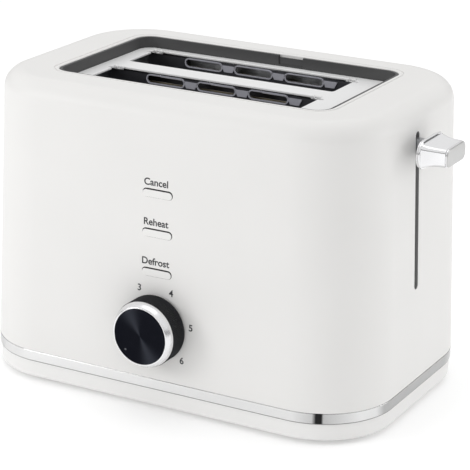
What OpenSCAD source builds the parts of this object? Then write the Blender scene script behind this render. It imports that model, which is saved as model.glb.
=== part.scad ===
// Pop-up toaster for two slices: moulded shell on a chromed band and a base tray, a sheet-metal oven
// with two bread slots, a sprung bread carriage with a side lever, three keys and a browning knob.
// +X points to the lever end, -Y to the control panel, +Z up. The feet stand on z = 0.

/* [Body] */
// Length of the shell at its foot, along X
body_l = 270; // [255:1:330]
// Depth of the shell at its foot, along Y
body_d = 172; // [165:1:210]
// Height from the underside of the base to the top of the shell
body_h = 189.5; // [180:1:230]
// Corner radius of the body seen from above
corner_r = 47; // [30:1:50]
// Radius of the rounded edge around the top
top_edge_r = 11.5; // [7:0.5:14]
// Wall thickness of the moulded shell
shell_wall = 2.5; // [2:0.1:3.5]
// How far each end wall leans inwards by the top
draft_x = 5.9; // [3:0.1:7]
// How far the front and back walls lean inwards by the top
draft_y = 2.8; // [1:0.1:4]

/* [Base] */
// Height of the rubber feet below the base
foot_h = 3; // [2:0.5:6]
// Radius of a foot
foot_r = 8; // [6:0.5:10]
// Distance of a foot's centre from the ends of the body
foot_in_x = 36; // [30:1:45]
// Distance of a foot's centre from the front and back of the body
foot_in_y = 28; // [24:1:34]
// Height of the base skirt below the band
skirt_h = 11.1; // [10:0.1:14]
// How far the skirt is set in from the shell
skirt_inset = 0.9; // [0.4:0.1:1.4]
// Thickness of the base floor and skirt
base_wall = 2.5; // [2:0.1:3]
// Height of the chromed band
band_h = 6.5; // [4:0.1:9]
// Thickness of the chromed band
band_t = 3; // [2.8:0.1:3.5]

/* [Top] */
// Length of the opening in the top
open_l = 185.4; // [170:0.1:195]
// Depth of the opening in the top
open_d = 108.7; // [104:0.1:118]
// Offset of the opening from the body's centre, along X
open_x = -0.8; // [-3:0.1:3]
// Offset of the opening from the body's centre, along Y
open_y = 2.2; // [-3:0.1:3]
// Corner radius of the opening
open_r = 11; // [8:0.5:16]
// Depth of the slot plate below the rim
plate_drop = 7.4; // [6:0.1:10]
// Thickness of the slot plate
plate_t = 1.2; // [0.8:0.1:1.6]

/* [Bread slots] */
// Length of a bread slot
slot_l = 144; // [130:1:150]
// Width of a bread slot
slot_w = 33; // [27:0.5:35]
// Width of the bar between the two slots
slot_bar = 15; // [14:0.5:18]
// Centre of the slots along X
slot_x = -9; // [-12:0.5:-6]
// Centre of the bar between the slots along Y
slot_y = 7.8; // [4:0.1:9]
// Travel of the bread carriage
lift = 78; // [62:1:80]
// Height of the bread rests above the ground, raised
rack_z = 130; // [128:0.5:134]

/* [Lever] */
// Centre of the lever along Y
lever_y = -9.8; // [-10.5:0.1:-8]
// How far the lever's slot lies behind the lever's centre, along Y
lever_slot_shift = 3.3; // [0:0.1:4]
// Height of the lever's axis above the ground, raised
lever_z = 166.5; // [164:0.5:168]
// Gap between the shell's foot line and the lever flange
flange_gap = 2.5; // [1.5:0.1:5]
// Width and height of the lever flange
flange_w = 35.5; // [34:0.5:40]
flange_h = 17.3; // [16.5:0.1:20]
// Thickness of the flange
flange_t = 2.6; // [2:0.1:4]
// Length of the grip from the flange to its end cap
grip_l = 14; // [12:0.5:20]
// Width and height of the grip's end
grip_w = 26.8; // [22:0.1:28]
grip_h = 11.2; // [9:0.1:13]
// How much the grip thickens above and below towards the flange
grip_flare = 1.5; // [0.5:0.1:2]
// How much the grip widens on each side towards the flange
grip_spread = 3; // [1:0.1:3]
// Corner radius of the grip and its end cap
grip_r = 4; // [2:0.5:4.5]
// Thickness of the end cap
cap_t = 1.4; // [1:0.1:2]

/* [Controls] */
// Height of the knob's axis above the ground
knob_z = 54.2; // [52:0.1:58]
// Radius of the knob's body
knob_r = 20.7; // [18:0.1:21.5]
// Length of the knob's black body
knob_body_l = 13.2; // [11:0.1:16]
// Length of the knob's sloping ring
knob_ring_l = 4.6; // [3:0.1:6]
// Radius of the ring's front edge, around the knob's face
knob_face_r = 18.2; // [15:0.1:18.5]
// Radius of the browning control's shaft
shaft_r = 3; // [2.5:0.1:3.5]
// Width of a key
key_w = 20; // [16:0.5:24]
// Height of a key
key_h = 5; // [4.8:0.1:8]
// Height of the lowest key's centre above the ground
key_z = 88; // [86:0.5:92]
// Spacing of the keys
key_pitch = 24.4; // [20:0.1:25]
// Travel of a key
key_travel = 1.6; // [1:0.1:2]

/* [Hidden] */

$fn = 64;
eps = 0.01;

// Heights of the main levels
base_z = foot_h;
floor_z = base_z + base_wall;
skirt_z = base_z + skirt_h;
band_z = skirt_z + band_h;
top_z = base_z + body_h;
roof_z = top_z - shell_wall;
plate_z = top_z - plate_drop;

// Fits and small clearances
fit_gap = 0.2;
upstand_gap = 0.3;
run_gap = 0.05;
knob_gap = 0.35;
key_gap = 0.35;

// Ends of the whole object: the lever cap and the knob's face reach beyond the body
flange_x = body_l / 2 + flange_gap;
grip_x = flange_x + flange_t;
cap_x = grip_x + grip_l;
lever_end = cap_x + cap_t;
knob_back = body_d / 2 + knob_gap;
knob_front = knob_back + knob_body_l + knob_ring_l;
body_x = (body_l / 2 - lever_end) / 2;
body_y = (knob_front - body_d / 2) / 2;

// Oven: frames at each end of the slots, guards along their edges, heaters behind the guards
sheet = 0.8;
frame_t = 1;
frame_in = 6;
left_x = slot_x - slot_l / 2 - frame_in;
right_x = slot_x + slot_l / 2 + frame_in;
heater_back = 5;
reflector_back = 10;
slot_cy = [slot_y - (slot_bar + slot_w) / 2, slot_y + (slot_bar + slot_w) / 2];
front_edge = slot_cy[0] - slot_w / 2;
rear_edge = slot_cy[1] + slot_w / 2;
front_heater_y = front_edge - heater_back;
rear_heater_y = rear_edge + heater_back;
front_reflector_y = front_edge - reflector_back;
rear_reflector_y = rear_edge + reflector_back;
frame_edge = 3;
screw_in = 24;
frame_y0 = front_reflector_y - frame_edge;
frame_y1 = rear_reflector_y + frame_edge;
ledge_w = 3;
ledge_t = 1;
collar_wall = 1.8;
collar_lip = 0.5;
oven_top = plate_z - plate_t - ledge_t - fit_gap;
oven_bottom = band_z - 2;
guard_bottom = 36;
guard_rows = 6;
guard_cols = 3;
guard_col_pitch = slot_l / (guard_cols + 1);
guard_row_pitch = 21;
guard_hole_w = guard_col_pitch - 10;
guard_hole_h = 12;
guard_hole_r = 5.9;
guard_slit_h = 4.6;
guard_slit_r = 2.2;
guard_slit_drop = 2.7;

// Heating elements: ribbon turns around a mica card, through slits near its ends
card_t = 0.8;
card_top = oven_top - 6;
card_bottom = 44;
card_edge = 2;
ribbon_w = 2;
ribbon_t = 0.3;
ribbon_turns = 11;
ribbon_margin = 5;
ribbon_x0 = left_x + frame_t + card_edge;
ribbon_x1 = right_x - card_edge;
ribbon_pitch = (card_top - card_bottom - 2 * ribbon_margin - ribbon_w) / (ribbon_turns - 1);

// Notch in the collar's back wall
notch_x = 14.6;
notch_w = 17;
notch_depth = 10;
notch_drop = 1.6;

// Bread carriage, raised
arm_w = 3;
arm_h = 7;
arm_slot_w = 5;
finger_w = 2;
finger_l = 25;
finger_h = 2.5;
finger_pitch = 18;
carriage_t = 2;
carriage_x = right_x + frame_t + 5;
carriage_top = lever_z + 5;
carriage_bottom = rack_z - 9;
lever_arm_t = 3.6;
lever_arm_h = 10;
track_y = lever_y + lever_slot_shift;
lever_slot_w = 5;
grip_over = 3;
lever_slot_over = 9;
lever_slot_under = 10;

// Guide rods and their brackets
rod_r = 2.5;
rod_x = carriage_x + carriage_t + 8;
rod_y = [slot_y - 2.8, slot_y + 20.2];
bracket_t = 2;
bracket_top = oven_top - 2;
bracket_bottom = guard_bottom - 12;
bracket_w = 14;
bush_r = 5;
bush_h = 12;
nut_r = 4;
nut_h = 2.5;

// Lift spring
spring_r = 3.6;
wire_r = 0.6;
spring_turns = 9;
spring_sides = 6;
spring_steps = 16;
spring_y = (rod_y[0] + rod_y[1]) / 2;
spring_low = carriage_top - 14;
spring_high = bracket_top - bracket_t;

// Latch magnet
magnet_x = rod_x;
magnet_y = slot_cy[0] - 1;
magnet_gap = 0.4;
magnet_l = 18;
magnet_d = 12;
leg_w = 4;
keeper_t = 2;
keeper_bottom = carriage_bottom;
magnet_top = keeper_bottom - lift - magnet_gap;
magnet_h = magnet_top - bracket_bottom - bracket_t;

// Mains contact block on the bottom bracket
mains = [16, 10, 12];
mains_y = slot_cy[1] + 8;

// Crumb tray and its tunnel under the oven
tray_gap = 0.6;
tray_t = 0.8;
tray_h = 6;
tray_x0 = left_x + frame_t + 2;
tray_x1 = right_x - 2;
tray_y0 = frame_y0 + 2;
tray_y1 = body_d / 2 - skirt_inset - base_wall - 0.6;
tray_z = floor_z + tray_gap;
handle_t = 2;
handle_margin = 0.4;

// Control board and what is mounted on it
panel_in = body_d / 2 - shell_wall - draft_y;
board_t = 1.6;
board_y = -(panel_in - 9);
board_w = 56;
board_z0 = knob_z - 18;
board_z1 = key_z + 2 * key_pitch + 12;
switch_w = 7;
switch_h = 5;
plunger_r = 1.7;
flange_lip = 1.5;
key_flange_t = 1.4;
key_proud = 0.25;
knob_lip = 0.8;
knob_face_t = 1.2;
knob_face_back = 1.4;
dot_r = 0.9;
dot_from_centre = 14;
dot_angle = 225;
control_r = 8.5;
control_l = 5;
bush_out_r = 4.5;

// Cord gland in the back wall
gland_x = -76;
gland_z = 33;
gland_bore = 3.2;
gland_r = 5;
gland_flange_r = 7.5;
gland_flange_t = 1.2;
gland_inner_t = 1.5;

white = [0.93, 0.93, 0.92];
dark = [0.33, 0.33, 0.34];
steel = [0.72, 0.73, 0.75];
bright = [0.86, 0.87, 0.89];
black = [0.07, 0.07, 0.08];

// Moves what is drawn about the body's centre into the object's own frame
module place() {
    translate([body_x, body_y, 0]) children();
}

// Flat rectangle with round corners, about its own centre
module round_rect(l, w, r) {
    square([l - 2 * r, w], center = true);
    square([l, w - 2 * r], center = true);
    for (sx = [-1, 1], sy = [-1, 1]) {
        translate([sx * (l / 2 - r), sy * (w / 2 - r)]) circle(r);
    }
}

// Extrudes an outline drawn in X and Z from y0 to y1
module along_y(y0, y1) {
    translate([0, y1, 0]) rotate([90, 0, 0]) linear_extrude(y1 - y0) children();
}

// Extrudes an outline drawn in Y and Z from x0 to x1
module along_x(x0, x1) {
    translate([x0, 0, 0]) rotate([90, 0, 90]) linear_extrude(x1 - x0) children();
}

// Extrudes an outline drawn in X and Y from z0 to z1
module along_z(z0, z1) {
    translate([0, 0, z0]) linear_extrude(z1 - z0) children();
}

// Footprint of the body, set in by inset
module footprint(inset) {
    round_rect(body_l - 2 * inset, body_d - 2 * inset, corner_r - inset);
}

// Drafted body with a rounded top edge, set in by inset and cut off at low and high
module drafted_body(inset, low, high) {
    edge = top_edge_r - inset;
    r = corner_r - inset;
    hull() {
        along_z(low, low + eps) footprint(inset);
        for (sx = [-1, 1], sy = [-1, 1]) {
            translate([
                sx * (body_l / 2 - draft_x - corner_r),
                sy * (body_d / 2 - draft_y - corner_r),
                high - edge
            ]) rotate_extrude($fn = 56) translate([r - edge, 0]) circle(edge, $fn = 32);
        }
    }
}

// Where the outer face of the back or front wall lies at height z
function wall_y(z) = body_d / 2 - draft_y * (z - band_z) / (top_z - top_edge_r - band_z);

module outer_shell() {
    slot_top = lever_z + lever_slot_over;
    slot_low = lever_z - lift - lever_slot_under;
    color(white) place() difference() {
        drafted_body(0, band_z, top_z);
        drafted_body(shell_wall, band_z - 1, roof_z);
        translate([open_x, open_y, 0]) along_z(roof_z - 1, top_z + 1) round_rect(open_l, open_d, open_r);
        along_x(body_l / 2 - 20, body_l / 2 + 1) translate([track_y, (slot_top + slot_low) / 2])
            round_rect(lever_slot_w, slot_top - slot_low, lever_slot_w / 2 - eps);
        for (i = [0:2]) {
            along_y(-body_d / 2 - 1, -panel_in + 1) translate([0, key_z + i * key_pitch])
                round_rect(key_w + 2 * key_gap, key_h + 2 * key_gap, key_h / 2 + key_gap - 0.4);
        }
        along_y(-body_d / 2 - 1, -panel_in + 1) translate([0, knob_z]) circle(bush_out_r + fit_gap);
        along_y(panel_in - 1, body_d / 2 + 1) translate([gland_x, gland_z]) circle(gland_r + fit_gap);
        along_y(wall_y(gland_z) - gland_flange_t - fit_gap, body_d / 2 + 1) translate([gland_x, gland_z])
            circle(gland_flange_r + fit_gap);
    }
}

module chrome_band() {
    color(bright) place() along_z(skirt_z, band_z) difference() {
        footprint(0);
        footprint(band_t);
    }
}

// Floor, skirt and the upstand that the band and shell sit around
module base_tray() {
    upstand = max(band_t, shell_wall + upstand_gap) + fit_gap;
    color(white) place() difference() {
        union() {
            along_z(base_z, floor_z) footprint(skirt_inset);
            along_z(base_z, skirt_z) difference() {
                footprint(skirt_inset);
                footprint(skirt_inset + base_wall + 1);
            }
            along_z(skirt_z - eps, band_z + 4) difference() {
                footprint(upstand);
                footprint(upstand + base_wall - 1);
            }
        }
        translate([tray_x0 - handle_margin, tray_y1 - 1, floor_z])
            cube([tray_x1 - tray_x0 + 2 * handle_margin, 2 * base_wall + 8, tray_h + 2 * tray_gap]);
        for (p = base_screw_places()) {
            translate([p[0], p[1], base_z - 1]) cylinder(h = base_wall + 2, r = 1.7);
            translate([p[0], p[1], base_z - 1]) cylinder(h = 2.4, r = 3.6);
        }
        for (side = [-1, 1], i = [0:4]) {
            translate([slot_x + side * 98 + (i - 2) * 5, 0, base_z - 1]) along_z(0, base_wall + 2)
                round_rect(2.4, 40, 1.19);
        }
    }
}

module rubber_feet() {
    color(black) place() for (sx = [-1, 1], sy = [-1, 1]) {
        translate([sx * (body_l / 2 - foot_in_x), sy * (body_d / 2 - foot_in_y), 0])
            cylinder(h = foot_h, r1 = foot_r - 0.8, r2 = foot_r);
    }
}

// Screws that hold the two frames' feet to the base floor
function base_screw_places() = [
    for (x = [left_x - 6, right_x + frame_t + 6], y = [frame_y0 + screw_in, frame_y1 - screw_in]) [x, y]
];

module base_screws() {
    color(steel) place() for (p = base_screw_places()) {
        translate([p[0], p[1], base_z + 0.2]) cylinder(h = 1.2, r = 3.2);
        translate([p[0], p[1], base_z + 1.4 - eps]) cylinder(h = base_wall + 3, r = 1.5);
    }
}

module opening_outline(inset) {
    translate([open_x, open_y]) round_rect(open_l - 2 * inset, open_d - 2 * inset, open_r - inset);
}

// Dark wall around the recess, with a flange under the roof and a ledge for the slot plate
module top_collar() {
    wall_in = fit_gap + collar_wall;
    low = plate_z - plate_t - ledge_t;
    color(dark) place() difference() {
        union() {
            along_z(low, top_z - collar_lip) opening_outline(fit_gap);
            along_z(roof_z - 2, roof_z - eps) opening_outline(-4);
        }
        along_z(low + ledge_t, top_z + 1) opening_outline(wall_in);
        along_z(low - 1, top_z) opening_outline(wall_in + ledge_w);
        translate([notch_x - notch_w / 2, open_y + open_d / 2 - 8, top_z - collar_lip - notch_drop])
            cube([notch_w, notch_depth, notch_drop + 1]);
    }
}

module slot_plate() {
    color(bright) place() along_z(plate_z - plate_t, plate_z) difference() {
        opening_outline(2 * fit_gap + collar_wall);
        for (cy = slot_cy) {
            translate([slot_x, cy]) round_rect(slot_l, slot_w, 2);
            for (sx = [-1, 1]) {
                translate([slot_x + sx * (slot_l / 2 + 1), cy + slot_w / 2 - 4])
                    square([4, 3], center = true);
            }
        }
    }
}

// End frame of the oven: a sheet with a foot turned outwards (side = 1 right, -1 left)
module end_frame(x, side) {
    foot = 12;
    translate([x, frame_y0, floor_z]) cube([frame_t, frame_y1 - frame_y0, oven_top - floor_z]);
    translate([side > 0 ? x : x - foot + frame_t, frame_y0, floor_z])
        cube([foot, frame_y1 - frame_y0, frame_t]);
}

module left_frame() {
    color(steel) place() difference() {
        end_frame(left_x, -1);
        frame_screw_holes();
    }
}

module right_frame() {
    color(steel) place() difference() {
        end_frame(right_x, 1);
        frame_screw_holes();
        for (cy = slot_cy) {
            along_x(right_x - 1, right_x + frame_t + 1)
                translate([cy, rack_z - lift / 2 + arm_h / 2])
                    square([arm_slot_w, lift + arm_h + 6], center = true);
        }
    }
}

module frame_screw_holes() {
    for (p = base_screw_places()) {
        translate([p[0], p[1], floor_z - 1]) cylinder(h = frame_t + 2, r = 1.6);
    }
}

// Plain sheet that throws heat back at the bread, facing it from y
module reflector(y) {
    color(steel) place() translate([left_x + frame_t, y - sheet / 2, oven_bottom])
        cube([right_x - left_x - frame_t, sheet, oven_top - oven_bottom]);
}

module front_reflector() {
    reflector(front_reflector_y);
}

module rear_reflector() {
    reflector(rear_reflector_y);
}

// Outline, in X and Z, of every turn of ribbon grown by gap, from x0 to x1
module ribbon_turns_outline(x0, x1, gap) {
    for (i = [0:ribbon_turns - 1]) {
        translate([x0 - gap, card_bottom + ribbon_margin + i * ribbon_pitch - gap])
            square([x1 - x0 + 2 * gap, ribbon_w + 2 * gap]);
    }
}

// Mica card of a heater, with a slit at each end of every turn
module heater_card(y) {
    color([0.72, 0.62, 0.45]) place() along_y(y - card_t / 2, y + card_t / 2) difference() {
        translate([left_x + frame_t, card_bottom])
            square([right_x - left_x - frame_t, card_top - card_bottom]);
        ribbon_turns_outline(ribbon_x0, ribbon_x0 + ribbon_t, run_gap);
        ribbon_turns_outline(ribbon_x1 - ribbon_t, ribbon_x1, run_gap);
    }
}

// Ribbon turns around a card, each a flat loop
module element(y) {
    out = card_t / 2 + ribbon_t;
    color([0.75, 0.45, 0.25]) place() difference() {
        along_y(y - out, y + out) ribbon_turns_outline(ribbon_x0, ribbon_x1, 0);
        translate([ribbon_x0 + ribbon_t, y - card_t / 2, card_bottom])
            cube([ribbon_x1 - ribbon_x0 - 2 * ribbon_t, card_t, card_top - card_bottom]);
    }
}

module front_heater() {
    heater_card(front_heater_y);
}

module middle_heater() {
    heater_card(slot_y);
}

module rear_heater() {
    heater_card(rear_heater_y);
}

module front_element() {
    element(front_heater_y);
}

module middle_element() {
    element(slot_y);
}

module rear_element() {
    element(rear_heater_y);
}

// Guard sheet beside a slot: a row of slits under the slot plate and rows of pill-shaped holes below it
module guard(y) {
    x0 = left_x + frame_t;
    x1 = right_x;
    color(dark) place() along_y(y - sheet / 2, y + sheet / 2) difference() {
        translate([x0, guard_bottom]) square([x1 - x0, oven_top - guard_bottom]);
        for (c = [0:guard_cols - 1]) {
            translate([slot_x + (c - (guard_cols - 1) / 2) * guard_col_pitch, oven_top - guard_slit_drop]) {
                round_rect(guard_hole_w, guard_slit_h, guard_slit_r);
                for (r = [1:guard_rows]) {
                    translate([0, -r * guard_row_pitch]) round_rect(guard_hole_w, guard_hole_h, guard_hole_r);
                }
            }
        }
    }
}

module front_slot_outer_guard() {
    guard(front_edge - sheet);
}

module front_slot_inner_guard() {
    guard(slot_cy[0] + slot_w / 2 + sheet);
}

module rear_slot_inner_guard() {
    guard(slot_cy[1] - slot_w / 2 - sheet);
}

module rear_slot_outer_guard() {
    guard(rear_edge + sheet);
}

// Shelf off the right frame, from y0 to y1, that holds the guide rods
module guide_bracket(z, y0, y1) {
    x0 = right_x + frame_t;
    difference() {
        translate([x0, y0, z]) cube([rod_x - x0 + bracket_w / 2, y1 - y0, bracket_t]);
        for (y = rod_y) {
            translate([rod_x, y, z - 1]) cylinder(h = bracket_t + 2, r = rod_r);
        }
    }
}

module top_guide_bracket() {
    color(steel) place()
        guide_bracket(bracket_top - bracket_t, rod_y[0] - bracket_w / 2, rod_y[1] + bracket_w / 2);
}

module bottom_guide_bracket() {
    color(steel) place() guide_bracket(bracket_bottom, magnet_y - magnet_l / 2 - 2, mains_y + mains[1] + 1);
}

module guide_rods() {
    color(bright) place() for (y = rod_y) {
        translate([rod_x, y, bracket_bottom - nut_h])
            cylinder(h = bracket_top - bracket_bottom + nut_h, r = rod_r);
    }
}

module rod_nuts() {
    color(steel) place() for (y = rod_y) {
        translate([rod_x, y, bracket_bottom - nut_h]) difference() {
            cylinder(h = nut_h, r = nut_r, $fn = 6);
            translate([0, 0, -1]) cylinder(h = nut_h + 2, r = rod_r);
        }
    }
}

// Core with two legs and a back, its poles facing up
module magnet_core() {
    color([0.5, 0.5, 0.52]) place() translate([magnet_x, magnet_y, magnet_top - magnet_h]) {
        translate([-magnet_d / 2, -magnet_l / 2, 0]) cube([magnet_d, magnet_l, leg_w]);
        for (s = [-1, 0, 1]) {
            translate([-magnet_d / 2, s * (magnet_l - leg_w) / 2 - leg_w / 2, leg_w - eps])
                cube([magnet_d, leg_w, magnet_h - leg_w + eps]);
        }
    }
}

module magnet_coil() {
    gap = (magnet_l - 3 * leg_w) / 2 - 0.3;
    color([0.7, 0.35, 0.15]) place() translate([magnet_x, magnet_y, magnet_top - magnet_h + leg_w + 0.4])
        linear_extrude(magnet_h - leg_w - 1.6) difference() {
            square([magnet_d + 2 * gap, leg_w + 2 * gap], center = true);
            square([magnet_d + 0.1, leg_w + 0.1], center = true);
        }
}

// Block with the mains contacts that the carriage closes when it is down
module mains_switch() {
    color(black) place()
        translate([rod_x - mains[0] / 2 - 1, mains_y, bracket_bottom + bracket_t]) cube(mains);
}

module control_board() {
    color([0.35, 0.45, 0.2]) place() translate([-board_w / 2, board_y, board_z0])
        cube([board_w, board_t, board_z1 - board_z0]);
}

module timer_chip() {
    color(black) place() translate([-16, board_y + board_t, key_z - 4]) cube([9, 3, 20]);
}

module relay() {
    color([0.15, 0.3, 0.6]) place() translate([4, board_y + board_t, key_z + 20]) cube([16, 14, 20]);
}

module capacitors() {
    color([0.2, 0.2, 0.3]) place() for (x = [-18, -6, 8]) {
        along_y(board_y + board_t, board_y + board_t + 11) translate([x, knob_z + 14]) circle(4);
    }
}

module key_switches() {
    color(black) place() for (i = [0:2]) {
        along_y(board_y - switch_h, board_y) translate([0, key_z + i * key_pitch]) difference() {
            square([switch_w, switch_w], center = true);
            circle(plunger_r + run_gap);
        }
    }
}

// Rotary browning control: a round body on the board and a bush towards the panel
module browning_control() {
    color(steel) place() difference() {
        union() {
            along_y(board_y - control_l, board_y) translate([0, knob_z]) circle(control_r);
            along_y(-knob_back + 0.6, board_y - control_l + eps)
                translate([0, knob_z]) circle(bush_out_r - 0.6);
        }
        along_y(-body_d / 2 - 5, board_y - 1.2) translate([0, knob_z]) circle(shaft_r + run_gap);
    }
}

module control_nut() {
    color(bright) place() along_y(-panel_in + 0.4, -panel_in + 2.4) translate([0, knob_z]) difference() {
        circle(bush_out_r + 2, $fn = 6);
        circle(bush_out_r - 0.6);
    }
}

module cord_gland() {
    out = wall_y(gland_z) - 0.1;
    inner = wall_y(gland_z) - shell_wall;
    color(black) place() difference() {
        union() {
            along_y(out - gland_flange_t, out) translate([gland_x, gland_z]) circle(gland_flange_r);
            along_y(inner - gland_inner_t, out - eps) translate([gland_x, gland_z]) circle(gland_r);
            along_y(inner - gland_inner_t - 2, inner - 0.3)
                translate([gland_x, gland_z]) circle(gland_r + 1.5);
        }
        along_y(inner - gland_inner_t - 4, out + 1) translate([gland_x, gland_z]) circle(gland_bore);
    }
}

module terminal_block() {
    color(white) place() translate([left_x - 24, slot_y + 20, floor_z]) difference() {
        cube([12, 26, 12]);
        for (y = [6, 13, 20]) {
            translate([-1, y, 8]) rotate([0, 90, 0]) cylinder(h = 14, r = 2);
        }
    }
}

// Plate that joins both bread rests to the lever and slides on the two guide rods
module carriage_plate() {
    y0 = slot_cy[0] - 8;
    y1 = slot_cy[1] + 8;
    x1 = carriage_x + carriage_t;
    color(steel) place() difference() {
        union() {
            translate([carriage_x, y0, carriage_bottom]) cube([carriage_t, y1 - y0, arm_h + 16]);
            translate([carriage_x, lever_y - 8, carriage_bottom])
                cube([carriage_t, 16, carriage_top - carriage_bottom]);
            for (y = rod_y) {
                translate([x1 - eps, y - bush_r, carriage_bottom + 4]) cube([rod_x - x1, 2 * bush_r, bush_h]);
                translate([rod_x, y, carriage_bottom + 4]) cylinder(h = bush_h, r = bush_r);
            }
            translate([carriage_x, spring_y - 5, carriage_bottom])
                cube([carriage_t, 10, spring_low - carriage_bottom]);
            translate([carriage_x, spring_y - 5, spring_low - 2]) cube([rod_x - carriage_x + 5, 10, 2]);
            translate([carriage_x, lever_y - 8, spring_low - 16])
                cube([carriage_t, spring_y - lever_y + 8, 16]);
        }
        for (y = rod_y) {
            translate([rod_x, y, carriage_bottom]) cylinder(h = bush_h + 8, r = rod_r + run_gap);
        }
    }
}

// Bar under one slice with cross fingers, carried by the plate
module bread_rest(cy) {
    x0 = left_x + frame_t + 8;
    count = floor((slot_l - 16) / finger_pitch);
    color(steel) place() union() {
        translate([x0, cy - arm_w / 2, rack_z]) cube([carriage_x - x0, arm_w, arm_h]);
        for (i = [0:count]) {
            translate([x0 + 4 + i * finger_pitch, cy - finger_l / 2, rack_z + arm_h - eps])
                cube([finger_w, finger_l, finger_h]);
        }
    }
}

module front_bread_rest() {
    bread_rest(slot_cy[0]);
}

module rear_bread_rest() {
    bread_rest(slot_cy[1]);
}

module latch_keeper() {
    color(steel) place() translate([carriage_x + carriage_t, magnet_y - magnet_l / 2, keeper_bottom])
        cube([magnet_x + magnet_d / 2 - carriage_x - carriage_t, magnet_l, keeper_t]);
}

// Points of one ring of the spring wire
function wire_ring(a, z) = [
    for (j = [0:spring_sides - 1])
        let (b = 360 * j / spring_sides, r = spring_r + wire_r * cos(b))
            [r * cos(a), r * sin(a), z + wire_r * sin(b)]
];

module lift_spring() {
    n = spring_turns * spring_steps;
    rise = (spring_high - spring_low - 2 * wire_r) / n;
    points = [
        for (i = [0:n])
            each wire_ring(360 * i / spring_steps, spring_low + wire_r + rise * i)
    ];
    sides = [
        for (i = [0:n - 1], j = [0:spring_sides - 1])
            let (k = (j + 1) % spring_sides)
                spring_sides * [i, i + 1, i + 1, i] + [j, j, k, k]
    ];
    ends = [
        [for (j = [0:spring_sides - 1]) j],
        [for (j = [spring_sides - 1:-1:0]) n * spring_sides + j]
    ];
    color(bright) place() translate([rod_x, spring_y, 0]) polyhedron(points, concat(sides, ends));
}

module lever_arm() {
    color(steel) place() along_x(carriage_x + carriage_t, flange_x) translate([track_y, lever_z])
        square([lever_arm_t, lever_arm_h], center = true);
}

module lever_flange() {
    color(bright) place() along_x(flange_x, grip_x) translate([lever_y, lever_z])
        round_rect(flange_w, flange_h, 7);
}

// Radius of the hollow curve that thickens the grip by this much, and how far off the side its centre lies
function sweep_r(flare) = (pow(grip_l + grip_over, 2) - pow(grip_over, 2)) / (2 * flare);
function sweep_out(flare) = sqrt(pow(sweep_r(flare), 2) - pow(grip_over, 2));

// Grip that is widest at the flange and narrows in hollow curves to the cap
module lever_grip() {
    root_w = grip_w + 2 * grip_spread;
    root_h = grip_h + 2 * grip_flare;
    sweep_x = cap_x + grip_over;
    color(bright) place() difference() {
        along_x(grip_x, cap_x) translate([lever_y, lever_z]) round_rect(root_w, root_h, grip_r);
        for (s = [-1, 1]) {
            translate([sweep_x, lever_y - root_w, lever_z + s * (grip_h / 2 + sweep_out(grip_flare))])
                rotate([-90, 0, 0]) cylinder(h = 2 * root_w, r = sweep_r(grip_flare), $fn = 256);
            translate([sweep_x, lever_y + s * (grip_w / 2 + sweep_out(grip_spread)), lever_z - root_h])
                cylinder(h = 2 * root_h, r = sweep_r(grip_spread), $fn = 256);
        }
    }
}

module lever_cap() {
    color([0.75, 0.75, 0.76]) place() along_x(cap_x, lever_end) translate([lever_y, lever_z])
        round_rect(grip_w, grip_h, grip_r);
}

module control_shaft() {
    color(bright) place() along_y(-knob_back - 9, board_y - 2) translate([0, knob_z]) circle(shaft_r);
}

// Hollow black skirt with a boss around the shaft and a nose inside the ring
module knob_body() {
    ring_back = -knob_back - knob_body_l;
    nose_r = knob_face_r - knob_lip;
    color(black) place() difference() {
        union() {
            along_y(ring_back, -knob_back) translate([0, knob_z]) circle(knob_r);
            along_y(-knob_front + knob_face_back, ring_back + eps) translate([0, knob_z]) circle(nose_r);
        }
        along_y(ring_back + 2.5, -knob_back + 1) translate([0, knob_z]) difference() {
            circle(knob_r - 2.5);
            circle(shaft_r + 2.5);
        }
        along_y(-knob_back - 9, -knob_back + 1) translate([0, knob_z]) circle(shaft_r);
    }
}

module knob_ring() {
    color(bright) place() translate([0, -knob_front, knob_z]) rotate([-90, 0, 0]) difference() {
        cylinder(h = knob_ring_l, r1 = knob_face_r, r2 = knob_r - 0.3, $fn = 96);
        translate([0, 0, -1]) cylinder(h = knob_ring_l + 2, r = knob_face_r - knob_lip, $fn = 96);
    }
}

module knob_face() {
    front = -knob_front + knob_face_back - knob_face_t;
    color(black) place() along_y(front, -knob_front + knob_face_back) translate([0, knob_z]) difference() {
        circle(knob_face_r - knob_lip);
        translate(dot_from_centre * [cos(dot_angle), sin(dot_angle)]) circle(dot_r);
    }
}

module knob_dot() {
    front = -knob_front + knob_face_back - knob_face_t + eps;
    color(white) place() along_y(front, -knob_front + knob_face_back)
        translate([0, knob_z] + dot_from_centre * [cos(dot_angle), sin(dot_angle)]) circle(dot_r);
}

// Key i from the bottom: a cap in the panel, a lip behind it and a stem to its switch
module key(i) {
    z = key_z + i * key_pitch;
    lip_front = -wall_y(z + key_h) + shell_wall + 0.4;
    color(white) place() union() {
        along_y(-wall_y(z) - key_proud, lip_front + eps) translate([0, z])
            round_rect(key_w, key_h, key_h / 2 - 0.4);
        along_y(lip_front, lip_front + key_flange_t) translate([0, z])
            round_rect(key_w + 2 * flange_lip + 1, key_h + 2 * flange_lip + 1, 2);
        along_y(lip_front + key_flange_t - eps, board_y - switch_h - key_travel - 0.6) translate([0, z])
            circle(plunger_r + 0.6);
    }
}

module plunger(i) {
    color([0.8, 0.3, 0.2]) place()
        along_y(board_y - switch_h - key_travel - 0.6, board_y - switch_h + 1)
            translate([0, key_z + i * key_pitch]) circle(plunger_r);
}

module defrost_key() {
    key(0);
}

module reheat_key() {
    key(1);
}

module cancel_key() {
    key(2);
}

module defrost_plunger() {
    plunger(0);
}

module reheat_plunger() {
    plunger(1);
}

module cancel_plunger() {
    plunger(2);
}

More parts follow.
